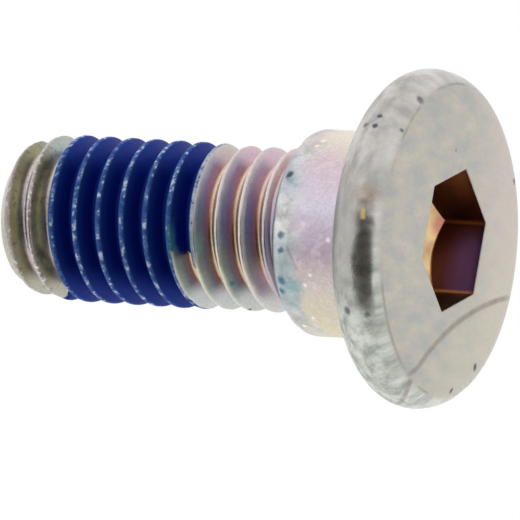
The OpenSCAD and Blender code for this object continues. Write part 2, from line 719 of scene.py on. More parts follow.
@dataclass
class Blank:
    """Head, shoulder and neck, turned as one piece round the socket. Sizes in millimetres."""

    socket: Socket = field(default_factory=Socket)
    head_h: float = 3.0
    edge_r: float = 1.35
    line_deg: float = -57.0
    line_half: float = 3.5
    line_depth: float = 0.006
    line_side: float = 20.0
    crown_r: float = 1.94
    crown_deg: Point = (-30.0, -6.0)
    seat_fillet: float = 0.25
    shoulder_r: float = 4.9
    shoulder_end: float = 7.4
    lead_r: float = 0.65
    neck_r: float = 3.625
    neck_fillet: float = 0.3
    neck_end: float = 8.0
    steps: int = 288

    def outline(self) -> list[Point]:
        """Outline from the bottom of the socket round the head to the end of the neck.

        Returns:
            Radius and height of each point.
        """
        edge, fillet, lead, neck = self.edge_r, self.seat_fillet, self.lead_r, self.neck_fillet
        mark, half = self.line_deg, self.line_half
        line = self.socket.outline()
        line += [(r, 0.0) for r in (4.3, 5.1, 5.9)]
        face, crown, back = self.rim()
        line += arc(face, edge, -90.0, mark - half, 12)
        line += arc(face, edge, mark - half * 0.3, mark + half * 0.3, 1)
        line += arc(face, edge, mark + half, self.crown_deg[0], 8)
        line += arc(crown, self.crown_r, *self.crown_deg, 8)[1:]
        line += arc(back, self.head_h - back[1], self.crown_deg[1], 90.0, 30)[1:]
        line += [(6.0, self.head_h), (5.5, self.head_h)]
        line += arc((self.shoulder_r + fillet, self.head_h + fillet), fillet, 270.0, 180.0, 6)
        line += [(self.shoulder_r, z) for z in (4.0, 4.8, 5.6, 6.2)]
        line += arc((self.shoulder_r - lead, self.shoulder_end - lead), lead, 0.0, 90.0, 14)
        line += arc((self.neck_r + neck, self.shoulder_end + neck), neck, 270.0, 180.0, 6)
        line += [(self.neck_r, self.neck_end), (2.8, self.neck_end + self.neck_r - 2.8)]
        line += [(0.0, self.neck_end + self.neck_r - 2.8)]
        return line

    def rim(self) -> tuple[Point, Point, Point]:
        """Centres of the rim's three round stretches: at the face, round the side and at the seat.

        Returns:
            Radius and height of each centre.
        """
        first, last = (math.radians(v) for v in self.crown_deg)
        flatter = self.crown_r - self.edge_r
        crown_z = self.edge_r - flatter * math.sin(first)
        back_r = (self.head_h - crown_z - self.crown_r * math.sin(last)) / (1.0 - math.sin(last))
        back = (HEAD_R - back_r, self.head_h - back_r)
        crown = (back[0] - (self.crown_r - back_r) * math.cos(last), crown_z)
        return (crown[0] + flatter * math.cos(first), self.edge_r), crown, back

    def knock(self, co: Vector, normal: Vector) -> Vector:
        """Dent the rim and the shoulder's lead-in a little, some sides more than others.

        Args:
            co: Where the point lies.
            normal: Which way the surface faces there.

        Returns:
            The dented place.
        """
        r = math.hypot(co.x, co.y)
        rim = smooth(7.25, 7.6, r) * smooth(3.0, 2.7, co.z)
        lead = smooth(5.9, 6.5, co.z) * smooth(7.42, 7.3, co.z) * smooth(4.2, 4.5, r)
        if rim + lead <= 0.0:
            return co
        side = 0.35 + 0.65 * smooth(0.2, 0.9, noise.noise(co * 0.12 + Vector((3.0, 1.0, 7.0))) + 0.5)
        dent = smooth(0.12, 0.55, noise.noise(co * 0.9)) * 0.03
        nick = smooth(0.2, 0.6, noise.noise(co * 1.9 + Vector((5.0, 0.0, 2.0)))) * 0.024
        return co - normal * ((rim + lead) * side * (dent + nick) + self._line(co))

    def _line(self, co: Vector) -> float:
        """Depth of the fine line round the face, rubbed away on most sides.

        Args:
            co: A point of the rim.

        Returns:
            The depth there.
        """
        centre = self.rim()[0]
        lean = math.degrees(math.atan2(co.z - centre[1], math.hypot(co.x, co.y) - centre[0]))
        if abs(lean - self.line_deg) > self.line_half * 0.5:
            return 0.0
        facing = math.cos(math.atan2(co.y, co.x) - math.radians(self.line_side))
        return self.line_depth * smooth(0.3, 0.85, facing)

    def build(self) -> bpy.types.Object:
        """Turn the blank, press its socket and knock its rim about.

        Returns:
            The closed blank.
        """
        obj = Bench.outline("screw_steel", self.outline())
        Bench.spin(obj, self.steps)
        Bench.shape(obj, lambda co, normal: self.socket.press(co))
        Bench.shape(obj, self.knock)
        return obj


@dataclass
class Thread:
    """The rolled thread with its run-out and its tapered tip. Sizes in millimetres."""

    form: ThreadForm
    first_crest: float = 6.98
    runout: float = 0.9375
    low_end: float = 6.3
    chamfer_r: float = 3.55
    chamfer_h: float = 0.45
    taper_deg: float = 15.0
    tip_r: float = 2.9
    steps: int = 96

    def limit(self, z: float) -> float:
        """Largest radius that the tapered, chamfered tip allows at a height.

        Args:
            z: The height.

        Returns:
            The radius.
        """
        start = TIP_Z - self.chamfer_h
        taper = self.chamfer_r + (start - z) * math.tan(math.radians(self.taper_deg))
        chamfer = self.tip_r + (TIP_Z - z) * (self.chamfer_r - self.tip_r) / self.chamfer_h
        return max(0.5, min(taper, chamfer))

    def roll(self, co: Vector, normal: Vector) -> Vector:
        """Let the ridge run out at the neck, keep it inside the tip and nick its crest.

        Args:
            co: Where the point lies.
            normal: Which way the surface faces there; not used.

        Returns:
            The rolled place.
        """
        root = self.form.root_r
        r = math.hypot(co.x, co.y)
        phase = self.form.phase(co)
        crest = co.z - self.form.pitch * (phase - round(phase))
        ridge = min(1.0, max(0.0, 0.08 + 0.92 * (crest - self.first_crest) / self.runout))
        worn = 0.035 * smooth(0.05, 0.6, noise.noise(co * 1.7)) * smooth(3.7, 3.9, r)
        goal = min(root + ridge * (r - root), self.limit(co.z)) - worn
        return Vector((co.x * goal / r, co.y * goal / r, co.z))

    def build(self) -> bpy.types.Object:
        """Wind the thread, shape its ends and cut it to length.

        Returns:
            The closed threaded rod.
        """
        first = math.floor(self.low_end / self.form.pitch) - 1
        turns = math.ceil(TIP_Z / self.form.pitch) - first + 1
        obj = Bench.outline("thread", self.form.groove(self.form.crest_z(first)))
        Bench.wind(obj, self.form.pitch, turns, self.steps)
        Bench.shape(obj, self.roll)
        Bench.cut(obj, TIP_Z, Side.BELOW)
        Bench.cut(obj, self.low_end, Side.ABOVE)
        Bench.weld(obj)
        return obj


@dataclass
class ThreadLockFilm:
    """The dried film in the grooves, with its ragged ends. Sizes in millimetres, places in turns."""

    form: ThreadForm
    thickness: float = 0.07
    buried: float = 0.015
    start_turn: float = 9.786
    end_turn: float = 15.64
    start_slant: float = 0.0385
    lap_ease: float = 0.12
    lap: float = 0.2
    low_lap: float = 0.02
    ragged: float = 0.012
    point_gap: float = 0.05
    steps: int = 144

    def start(self, across: float, rough: float) -> float:
        """Where the film starts on its way up, at a place across the groove."""
        return self.start_turn + self.start_slant * across + self.ragged * rough

    def end(self, rough: float) -> float:
        """Where the film ends on its way up."""
        return self.end_turn + self.ragged * rough

    def over(self, turn: float) -> float:
        """How far the last turn laps over its crest into the groove above, in shares of the pitch.

        Args:
            turn: How far up the thread.

        Returns:
            The lap.
        """
        last = self.end_turn + 1.0
        return self.lap * smooth(last, last - self.lap_ease, turn) if turn > self.end_turn - 0.5 else 0.0

    def under(self, turn: float) -> float:
        """How far the first turn laps over its crest into the groove below, in shares of the pitch.

        Args:
            turn: How far up the thread.

        Returns:
            The lap.
        """
        first = self.start_turn - 1.0
        near = turn < self.start_turn + 0.5
        return self.low_lap * smooth(first, first + self.lap_ease, turn) if near else 0.0

    def cover(self, co: Vector) -> float:
        """How far inside the film's edge a place on the thread lies; below zero outside it.

        Args:
            co: A point of the thread.

        Returns:
            The distance.
        """
        phase = self.form.phase(co)
        groove = math.floor(phase)
        across = phase - groove
        turn = math.atan2(co.y, co.x) / math.tau + groove
        rough = noise.noise(co * 2.2) + 0.5 * noise.noise(co * 6.0)
        round_mm = math.tau * 0.9 * self.form.crest_r
        inside = [(turn - self.start(across, rough)) * round_mm, (self.end(rough) - turn) * round_mm]
        wavy = 1.0 + 0.5 * rough
        if turn - 1.0 < self.start(1.0, rough):
            inside.append((across + self.under(turn - 1.0) * wavy) * self.form.pitch)
        if turn + 1.0 > self.end(rough):
            inside.append((1.0 + self.over(turn + 1.0) * wavy - across) * self.form.pitch)
        above, below = self.over(turn) * wavy, self.under(turn) * wavy
        if above > 0.01 and above > across:
            return max(min(inside), (above - across) * self.form.pitch)
        if below > 0.01 and below > 1.0 - across:
            return max(min(inside), (below + across - 1.0) * self.form.pitch)
        past_top = above - across if above > 0.01 else -1.0
        past_bottom = below + across - 1.0 if below > 0.01 else -1.0
        return max(min(inside), past_top * self.form.pitch, past_bottom * self.form.pitch)

    def raise_film(self, co: Vector, normal: Vector) -> Vector:
        """Lift a place on the thread to the film's surface, or sink it where there is none.

        Args:
            co: Where the point lies.
            normal: Which way the surface faces there.

        Returns:
            The place on the film.
        """
        cover = self.cover(co)
        lift = self.thickness * smooth(0.0, 0.12, cover) - 0.05 * smooth(0.0, 0.06, -cover)
        return co + normal * lift

    def build(self) -> bpy.types.Object:
        """Wind the film over the thread, shape its edges and give it its thickness.

        Returns:
            The closed film.
        """
        first = math.floor(self.start_turn) - 1
        turns = math.ceil(self.end_turn) - first + 2
        line = stepped(self.form.groove(self.form.crest_z(first)), self.point_gap)
        obj = Bench.outline("thread_lock_film", line)
        Bench.wind(obj, self.form.pitch, turns, self.steps)
        Bench.remove(obj, lambda co: self.cover(co) < -0.07)
        Bench.shape(obj, self.raise_film)
        Bench.thicken(obj, self.thickness + self.buried)
        Bench.weld(obj)
        return obj


@dataclass(frozen=True)
class Fleck:
    """A small spot on the surface: the dark and teal ones are stains, the rose and cream ones painted
    highlights. Sizes in millimetres.
    """

    spot: tuple[float, float, float]
    size: float
    colour: Colour
    share: float = 0.85

    def lay(self, g: Graph, p: Place, under: Feed) -> Feed:
        """Lay the spot over a colour, with a ragged edge.

        Args:
            g: The material's graph.
            p: The measured place.
            under: Colour below the spot.

        Returns:
            The colour with the spot.
        """
        ragged = (p.mottle + p.grain * 0.6 - 0.8) * self.size
        inside = (p.near(self.spot) + ragged).ease(self.size * 1.15, self.size * 0.3)
        return g.mix(inside * self.share, under, self.colour)


@dataclass(frozen=True)
class Finish:
    """What all finishes of the screw share."""

    form: ThreadForm

    def open(self, name: str) -> tuple[bpy.types.Material, Graph, Place]:
        """Start a material.

        Args:
            name: Name of the material.

        Returns:
            The material, its empty graph and the measured place.
        """
        made = bpy.data.materials.new(name)
        made.use_nodes = True
        g = Graph(made.node_tree)
        return made, g, Place(g, self.form)

    @staticmethod
    def close(g: Graph, feeds: dict[str, Feed], height: Num, depth: float) -> None:
        """Add the shader with its fine relief and the output.

        Args:
            g: The material's graph.
            feeds: Inputs of the shader.
            height: Relief from 0 to 1.
            depth: Depth of the relief in millimetres.
        """
        relief = {"Strength": 1.0, "Distance": depth * MM, "Height": height}
        bump = g.node("ShaderNodeBump", None, relief)
        shader = g.node("ShaderNodeBsdfPrincipled", None, {**feeds, "Normal": bump.outputs[0]})
        g.node("ShaderNodeOutputMaterial", None, {0: shader.outputs[0]})


WHITE = (1.0, 1.0, 1.0)
DARK = rgb(60, 63, 74)
BLACK_BLUE = rgb(36, 42, 62)
TEAL = rgb(62, 108, 132)
PALE_TEAL = rgb(128, 168, 172)
CREAM_GLINT = rgb(252, 240, 222)
ROSE_GLINT = rgb(252, 226, 236)
GOLD_REFLECTION = rgb(240, 212, 126)
STREAK_GREY = rgb(144, 132, 122)


@dataclass(frozen=True)
class PlatedSteel(Finish):
    """Zinc plating with a thin passivate: satin grey on the head, pink and gold on the shank."""

    socket: Socket = Socket()
    up_deg: float = 45.5
    face: Stops = stops(
        (0.34, 177, 179, 174),
        (0.43, 183, 182, 176),
        (0.5, 188, 184, 177),
        (0.57, 191, 187, 175),
        (0.66, 198, 190, 183),
    )
    streaks: Stops = stops((0.34, 170, 168, 164), (0.48, 194, 190, 186), (0.62, 212, 208, 205))
    blotches: Stops = stops((0.36, 158, 163, 155), (0.47, 186, 190, 181), (0.6, 210, 214, 206))
    brown_wall_tint_and_reflection: Stops = stops((0.0, 126, 80, 66), (0.4, 98, 64, 54), (0.9, 130, 88, 64))
    purple_wall_tint_and_reflection: Stops = stops(
        (0.0, 104, 80, 158),
        (0.34, 100, 74, 138),
        (0.62, 92, 56, 62),
        (1.0, 100, 62, 50),
    )
    olive_wall_tint_and_reflection: Stops = stops((0.0, 126, 116, 56), (0.5, 100, 92, 46), (1.0, 120, 108, 60))
    cone: Stops = stops((0.34, 200, 154, 116), (0.46, 210, 178, 132), (0.62, 236, 204, 150))
    shoulder: Stops = stops(
        (0.05, 214, 206, 176),
        (0.22, 208, 198, 188),
        (0.4, 184, 166, 180),
        (0.62, 212, 205, 220),
        (0.83, 214, 195, 203),
        (0.97, 232, 224, 205),
    )
    crumbs: Stops = stops((0.32, 172, 175, 174), (0.47, 199, 199, 198), (0.62, 224, 223, 221))
    neck: Stops = stops((0.1, 188, 180, 186), (0.5, 174, 168, 184), (0.9, 224, 200, 198))
    thread_shaded_top: Stops = stops(
        (0.02, 240, 215, 180),
        (0.12, 165, 122, 135),
        (0.26, 140, 118, 150),
        (0.42, 172, 168, 178),
        (0.55, 235, 225, 210),
    )
    thread_shaded_front: Stops = stops(
        (0.02, 200, 170, 140),
        (0.1, 150, 110, 110),
        (0.19, 110, 92, 150),
        (0.34, 98, 112, 146),
        (0.47, 190, 190, 190),
        (0.6, 245, 232, 220),
        (0.93, 220, 190, 160),
    )
    thread_shaded_bottom: Stops = stops(
        (0.02, 230, 200, 155),
        (0.1, 125, 90, 90),
        (0.22, 108, 102, 120),
        (0.38, 132, 142, 134),
        (0.55, 230, 225, 200),
    )
    tip_shaded_front: Stops = stops(
        (0.06, 178, 170, 170),
        (0.14, 120, 117, 120),
        (0.24, 168, 172, 122),
        (0.37, 146, 128, 108),
        (0.55, 185, 178, 180),
    )
    tip_shaded_edge: Stops = stops(
        (0.05, 200, 190, 185),
        (0.14, 100, 92, 84),
        (0.28, 120, 120, 90),
        (0.42, 128, 124, 110),
        (0.58, 225, 215, 215),
    )
    flecks: tuple[Fleck, ...] = (
        Fleck((7.99, -0.08, 1.49), 0.18, DARK),
        Fleck((7.96, -0.72, 1.51), 0.16, DARK),
        Fleck((7.89, -0.62, 2.04), 0.2, DARK, 0.7),
        Fleck((7.5, -0.43, 0.37), 0.14, DARK, 0.7),
        Fleck((7.28, 1.85, 0.38), 0.26, DARK, 0.7),
        Fleck((2.59, -7.51, 1.91), 0.24, DARK, 0.7),
        Fleck((2.37, -7.53, 0.94), 0.2, DARK, 0.6),
        Fleck((-2.26, 6.43, 0.03), 0.2, DARK),
        Fleck((-6.29, -2.07, 0.0), 0.24, DARK),
        Fleck((-5.53, -4.46, 0.12), 0.18, DARK),
        Fleck((3.3, 2.68, 0.0), 0.1, DARK, 0.5),
        Fleck((1.2, -4.74, 6.4), 0.5, PALE_TEAL, 0.5),
        Fleck((4.77, -1.07, 6.77), 0.26, BLACK_BLUE),
        Fleck((4.72, -1.3, 6.62), 0.24, PALE_TEAL, 0.6),
        Fleck((3.31, -3.6, 6.7), 0.24, TEAL),
        Fleck((2.76, -4.04, 6.72), 0.22, TEAL),
        Fleck((1.41, -4.68, 6.82), 0.26, TEAL),
        Fleck((0.81, -4.8, 6.92), 0.26, TEAL),
        Fleck((-2.35, -3.1, 10.3), 0.18, BLACK_BLUE),
        Fleck((-0.06, -3.66, 10.25), 0.2, TEAL),
        Fleck((2.0, -3.33, 11.75), 0.7, PALE_TEAL, 0.45),
        Fleck((2.26, -3.16, 10.7), 0.45, PALE_TEAL, 0.4),
        Fleck((-0.27, -3.75, 21.19), 0.16, BLACK_BLUE),
        # Painted highlights: small rose and cream glints on the shoulder.
        Fleck((3.24, -3.67, 4.22), 0.16, ROSE_GLINT),
        Fleck((1.24, -4.74, 5.61), 0.13, ROSE_GLINT),
        Fleck((1.75, -4.57, 5.25), 0.12, ROSE_GLINT),
        Fleck((3.7, -3.2, 5.55), 0.2, ROSE_GLINT, 0.6),
        Fleck((-0.84, -4.83, 5.79), 0.14, CREAM_GLINT),
        Fleck((-1.63, -4.62, 6.53), 0.16, CREAM_GLINT),
        Fleck((4.69, 1.4, 6.04), 0.18, CREAM_GLINT),
        Fleck((4.81, 0.92, 6.13), 0.14, CREAM_GLINT),
    )

    def material(self) -> bpy.types.Material:
        """Build the shader.

        Returns:
            The finished material.
        """
        made, g, p = self.open("plated_steel")
        shank = p.z.ease(3.02, 3.12)
        bore = p.r.ease(3.62, 3.58) * p.z.band(0.085, 5.3, 0.02)
        gold = self._gold_reflection(g, p)
        colour = g.mix(shank, self._head(g, p), self._shank(g, p))
        colour = g.mix(bore, colour, self._bore(g, p))
        # A long faint darker streak across the face and over its edge.
        colour = g.mix(self._faint_streak(g, p), colour, STREAK_GREY)
        for fleck in self.flecks:
            colour = fleck.lay(g, p, colour)
        # Painted reflection: the long golden streak on the rim.
        colour = g.mix(gold * 0.85, colour, GOLD_REFLECTION)
        colour = g.mix(0.055, colour, g.tint(self._drawn_across(g, p), 2.0), "OVERLAY")
        strength = shank * 0.26 + 0.24
        colour = g.mix(1.0, colour, p.grain * strength - strength * 0.5 + 1.0, "MULTIPLY")
        rim = p.r.ease(7.3, 7.6) * p.z.ease(2.2, 1.6)
        rough = 0.46 - rim * 0.18 - shank * 0.12 - bore * 0.16 + gold * 0.3 + (p.mottle - 0.5) * 0.12
        feeds = {"Base Color": colour, "Metallic": 1.0, "Roughness": rough}
        self.close(g, feeds, p.grain + p.mottle, 0.004)
        return made

    def _head(self, g: Graph, p: Place) -> Feed:
        """Colour of the face, the rim and the seat.

        Args:
            g: The material's graph.
            p: The measured place.

        Returns:
            The colour's socket.
        """
        face = g.ramp(g.noise(self._drawn_across(g, p), 1.25, 3.0), self.face)
        # Painted light: the flat face grows paler and warmer towards two sides.
        face = g.mix(p.along(-0.61, 0.79, 0.0).ease(0.5, 7.0) * 0.8, face, rgb(210, 200, 193))
        face = g.mix(p.along(-0.99, -0.1, 0.0).ease(2.0, 6.5) * 0.55, face, rgb(208, 203, 186))
        streaks = g.ramp(g.noise(p.drawn_round(4.8, 1.3), 1.0, 3.0), self.streaks)
        blotches = g.ramp(g.noise(p.drawn_round(10.0, 1.9), 1.0, 3.0, 0.6), self.blotches)
        rim = g.mix(p.towards(-105.0).ease(0.3, 0.8), streaks, blotches)
        shade = p.z.ease(1.1, 1.7) * p.towards(-48.0).ease(0.86, 0.98)
        rim = g.mix(shade * 0.6, rim, rgb(160, 158, 154))
        rim = g.mix(p.near((6.75, -4.1, 1.0)).ease(0.9, 0.3) * 0.45, rim, rgb(176, 156, 134))
        rim = g.mix(p.towards(135.0).ease(-0.2, 0.5) * 0.6, rim, rgb(190, 186, 180))
        colour = g.mix(p.r.ease(7.25, 7.6), face, rim)
        # Painted dark reflection: a broken dark line along the face's edge, over the fine groove.
        line = p.r.band(7.29, 7.4, 0.05) * p.z.ease(0.5, 0.42)
        broken = g.noise(p.drawn_round(3.0, 0.5), 1.3, 2.0).ease(0.42, 0.62)
        side = p.towards(20.0).ease(0.45, 0.85) * 0.4 + p.towards(-100.0).ease(0.6, 0.9) * 0.4
        colour = g.mix(line * broken * side, colour, rgb(110, 112, 106))
        return g.mix(p.z.ease(2.75, 2.95), colour, rgb(204, 194, 182))

    def _drawn_across(self, g: Graph, p: Place) -> Feed:
        """The place drawn out one way across the axis, for soft patches in the plating.

        Args:
            g: The material's graph.
            p: The measured place.

        Returns:
            The vector's socket.
        """
        a = math.radians(self.up_deg)
        long = p.along(math.sin(a), -math.cos(a), 0.0) * 0.45
        short = p.along(math.cos(a), math.sin(a), 0.0)
        return g.node("ShaderNodeCombineXYZ", None, {0: long, 1: short, 2: p.z}).outputs[0]

    def _gold_reflection(self, g: Graph, p: Place) -> Num:
        """Share of the long painted gold reflection on the rim.

        Args:
            g: The material's graph.
            p: The measured place.

        Returns:
            The share, from 0 to 1.
        """
        off, side = p.near((6.33, -4.78, 1.03)), p.along(0.602, 0.799, 0.0)
        across = g.math("SQRT", off * off - side * side * 0.78)
        return (across + (p.mottle - 0.5) * 0.2 + (p.grain - 0.5) * 0.5).ease(0.17, 0.03)

    def _faint_streak(self, g: Graph, p: Place) -> Num:
        """Share of the long faint darker streak across the face and over its edge.

        Args:
            g: The material's graph.
            p: The measured place.

        Returns:
            The share, from 0 to 1.
        """
        off = abs(p.x + 4.42 + p.y * 0.6045 + p.y * p.y * 0.0349)
        face = off.ease(0.25, 0.06) * p.y.band(-7.2, 2.6, 0.8) * p.z.ease(0.5, 0.2) * p.x.ease(1.5, 0.5)
        off = abs(p.along(0.4756, -0.4336, 0.7654) - 2.16)
        rim = off.ease(0.2, 0.06) * p.near((-3.3, -7.0, 1.0)).ease(1.5, 1.2) * p.z.ease(0.1, 0.4)
        return g.math("MAXIMUM", face, rim) * (p.mottle * 0.7 + 0.3)

    def _bore(self, g: Graph, p: Place) -> Feed:
        """Colour of the socket: brown, purple and olive walls, partly a passivate tint and partly
        painted reflection and shade that differ with the way each wall faces, painted golden highlights
        along the corners, and a golden cone.

        Args:
            g: The material's graph.
            p: The measured place.

        Returns:
            The colour's socket.
        """
        deep = p.z / 3.0
        # Each wall gets its own colour by the way it faces: partly passivate tint, partly painted
        # reflection and shade.
        purple = g.ramp(deep, self.purple_wall_tint_and_reflection)
        purple = g.mix(p.along(0.5, 0.87, 0.0).ease(0.4, 2.0), purple, rgb(98, 60, 48))
        wall = g.mix(p.angle.band(2.094, 3.3, 0.03), g.ramp(deep, self.brown_wall_tint_and_reflection), purple)
        wall = g.mix(p.angle.ease(-2.08, -2.11), wall, g.ramp(deep, self.olive_wall_tint_and_reflection))
        # Painted highlight: golden lines along the socket's corners.
        wall = g.mix(p.r.ease(3.4, 3.47) * 0.4, wall, rgb(235, 180, 110))
        up = p.z + p.r * self.socket.slope - self.socket.apex
        cone = g.ramp(p.cloud, self.cone)
        cone = g.mix(p.near((-1.9, 2.9, 2.3)).ease(0.9, 0.3) * 0.7, cone, rgb(190, 110, 110))
        return g.mix(up.ease(-0.1, -0.02), wall, cone)

    def _shank(self, g: Graph, p: Place) -> Feed:
        """Colour of everything under the head.

        Args:
            g: The material's graph.
            p: The measured place.

        Returns:
            The colour's socket.
        """
        up = p.towards(self.up_deg)
        height = up * 0.5 + 0.5
        # The shoulder's colour runs by side as the screw lies: the passivate's pink and lavender in
        # front, with painted sheen making it paler and creamier towards the top and bottom.
        plain = g.ramp(height + (p.cloud - 0.5) * 0.12, self.shoulder)
        plain = g.mix((p.mottle - 0.5).ease(0.04, 0.14) * 0.35, plain, rgb(232, 214, 226))
        lead = self._lead(g, p, up)
        edge = p.z + (p.cloud - 0.5) * 2.2 + (p.mottle - 0.5) * 0.8
        colour = g.mix(edge.ease(5.5, 6.5), plain, lead)
        # The neck's colour by the same side is paler towards the top and bottom: painted sheen.
        colour = g.mix(p.z.ease(7.3, 7.42), colour, g.ramp(height, self.neck))
        thread = (p.z + (p.mottle - 0.5) * 0.3).ease(8.0, 8.35)
        colour = g.mix(thread, colour, self._thread(g, p, up))
        return g.mix(p.z.ease(15.0, 17.0), colour, self._tip(g, p, up))

    def _lead(self, g: Graph, p: Place, up: Num) -> Feed:
        """Colour of the shoulder's knocked lead-in: white lumps, pink above and grey-green below.

        Args:
            g: The material's graph.
            p: The measured place.
            up: How far the place faces up as the screw lies, from -1 to 1.

        Returns:
            The colour's socket.
        """
        wavy = g.mix(0.12, p.vector, g.tint(p.vector, 1.1), "ADD")
        lumps = 0.82 - g.dots(wavy, 1.45) * 0.55 + (g.noise(p.vector, 1.3, 2.0) - 0.5) * 0.5
        lead = g.ramp(lumps + (p.grain - 0.5) * 0.12, self.crumbs)
        lead = g.mix(up.band(0.3, 0.68, 0.2) * 0.5, lead, rgb(176, 186, 202))
        lead = g.mix(up.ease(0.65, 0.9) * 0.6, lead, rgb(204, 190, 192))
        # Painted shade: darker where the lead-in turns into the neck's fillet.
        lead = g.mix(p.z.ease(6.95, 7.35) * 0.75, lead, rgb(148, 150, 160))
        lead = g.mix(p.towards(-72.0).ease(0.86, 0.98) * 0.6, lead, rgb(146, 170, 174))
        lead = g.mix(up.ease(-0.7, -0.95) * 0.5, lead, rgb(198, 194, 176))
        off = abs(p.along(-0.35, -0.2, 0.915) - 5.598 + (p.mottle - 0.5) * 0.1)
        crack = p.near((2.42, -4.25, 6.12)).ease(0.72, 0.5) * off.ease(0.1, 0.02)
        return g.mix(crack * 0.7, lead, rgb(112, 120, 126))

    def _thread(self, g: Graph, p: Place, up: Num) -> Feed:
        """Colour of the bare thread: pale crests, blue and maroon flanks, copper roots; the pale crests
        are painted highlights, the flanks' passivate tint carries painted shade, and the top, front and
        bottom as the screw lies are lit and shaded copies.

        Args:
            g: The material's graph.
            p: The measured place.
            up: How far the place faces up as the screw lies, from -1 to 1.

        Returns:
            The colour's socket.
        """
        across = p.across + (p.mottle - 0.5) * 0.04
        # Three lit and shaded copies of one ramp, for the top, front and bottom as the screw lies:
        # painted highlights on the crests, painted shade on the flanks.
        high, middle = g.ramp(across, self.thread_shaded_top), g.ramp(across, self.thread_shaded_front)
        colour = g.mix(up.ease(0.1, 0.75), middle, high)
        colour = g.mix(up.ease(0.1, -0.65), colour, g.ramp(across, self.thread_shaded_bottom))
        green = p.z.ease(10.6, 12.0) * up.band(-0.5, 0.3, 0.4) * across.band(0.17, 0.4, 0.12)
        colour = g.mix(green * 0.55, colour, rgb(92, 112, 108))
        # Near the head: paler top and bottom as painted sheen, and a painted highlight along the crests.
        near = p.z.ease(10.2, 8.6)
        colour = g.mix(near * abs(up).ease(0.35, 0.75) * 0.45, colour, rgb(216, 194, 206))
        colour = g.mix(near * across.band(0.36, 0.6, 0.06) * 0.5, colour, rgb(228, 222, 218))
        # Paler top and bottom as the screw lies: painted sheen.
        top = g.mix(p.z.ease(11.0, 12.2), rgb(222, 192, 198), rgb(208, 198, 182))
        colour = g.mix(up.ease(0.8, 0.97) * 0.65, colour, top)
        return g.mix(up.ease(-0.78, -0.95) * 0.75, colour, rgb(206, 208, 206))

    def _tip(self, g: Graph, p: Place, up: Num) -> Feed:
        """Colour of the tip: olive flanks, mauve crests and a pale chamfer, with lit and shaded copies
        for its front and edges as the screw lies, paler painted sheen at its top and bottom and painted
        glints on its crests.

        Args:
            g: The material's graph.
            p: The measured place.
            up: How far the place faces up as the screw lies, from -1 to 1.

        Returns:
            The colour's socket.
        """
        across = p.across + (p.mottle - 0.5) * 0.05
        # Lit and shaded copies of one ramp for the front and the edges as the screw lies.
        front, edge = g.ramp(across, self.tip_shaded_front), g.ramp(across, self.tip_shaded_edge)
        flank = g.mix(abs(up).ease(0.2, 0.65), front, edge)
        flank = g.mix((p.cloud - 0.5).ease(0.0, 0.15) * 0.3, flank, rgb(150, 134, 112))
        # Paler top and bottom as the screw lies: painted sheen.
        top = g.mix(p.z.ease(20.6, 21.3), rgb(190, 202, 206), rgb(186, 186, 146))
        flank = g.mix(up.ease(0.7, 0.95) * 0.65, flank, top)
        flank = g.mix(up.ease(-0.75, -0.95) * 0.6, flank, rgb(205, 202, 190))
        # Painted glints: bright specks along the crests.
        specks = g.noise(p.vector, 3.4, 2.0, 0.7)
        bright = specks.ease(0.54, 0.66) * across.band(0.4, 1.0, 0.1)
        flank = g.mix(bright * 0.7, flank, rgb(236, 230, 230))
        flank = g.mix(specks.ease(0.42, 0.32) * 0.5, flank, rgb(92, 80, 66))
        flank = g.mix(p.z.ease(21.5, 21.9) * 0.4, flank, rgb(104, 99, 82))
        return g.mix((p.z + (p.mottle - 0.5) * 0.2).ease(22.08, 22.2), flank, rgb(196, 193, 178))


@dataclass(frozen=True)
class DriedThreadLock(Finish):
    """Deep blue film, satin, rubbed pale along the crests, with painted shade on the flanks, a painted
    highlight over the crests and painted sheen at its top and bottom as the screw lies.
    """

    up_deg: float = 45.5
    blue: Stops = stops(
        (0.05, 5, 26, 120),
        (0.2, 0, 22, 105),
        (0.36, 8, 36, 104),
        (0.52, 56, 92, 158),
        (0.9, 16, 44, 130),
    )

    def material(self) -> bpy.types.Material:
        """Build the shader.

        Returns:
            The finished material.
        """
        made, g, p = self.open("thread_lock")
        up = p.towards(self.up_deg)
        across = p.across + (p.mottle - 0.5) * 0.05
        # Across the groove: the film's own deep blue, darkest on the flanks as painted shade and
        # lightest over the crests as a painted highlight.
        colour = g.ramp(across, self.blue)
        # Painted sheen: brighter blue towards the top and bottom as the screw lies.
        colour = g.mix(abs(up).ease(0.6, 0.95) * 0.75, colour, rgb(36, 66, 168))
        crest = across.band(0.42, 0.58, 0.05)
        worn = g.noise(p.vector, 2.3, 3.0, 0.7)
        colour = g.mix(crest * worn.ease(0.42, 0.56) * 0.5, colour, rgb(112, 152, 206))
        colour = g.mix(crest * worn.ease(0.54, 0.64) * 0.85, colour, rgb(214, 224, 240))
        first = crest * p.z.ease(13.2, 12.6) * worn.ease(0.35, 0.5)
        colour = g.mix(first * 0.75, colour, rgb(214, 218, 226))
        start = p.near((1.9, -3.4, 12.6)).ease(1.6, 0.4)
        colour = g.mix(start * across.band(0.3, 0.62, 0.1) * 0.6, colour, rgb(58, 118, 130))
        colour = g.mix(1.0, colour, p.grain * 0.3 + 0.68, "MULTIPLY")
        rough = 0.42 + (p.mottle - 0.5) * 0.3
        feeds = {"Base Color": colour, "Metallic": 0.0, "Roughness": rough, "Specular IOR Level": 0.05}
        self.close(g, feeds, p.mottle, 0.02)
        return made


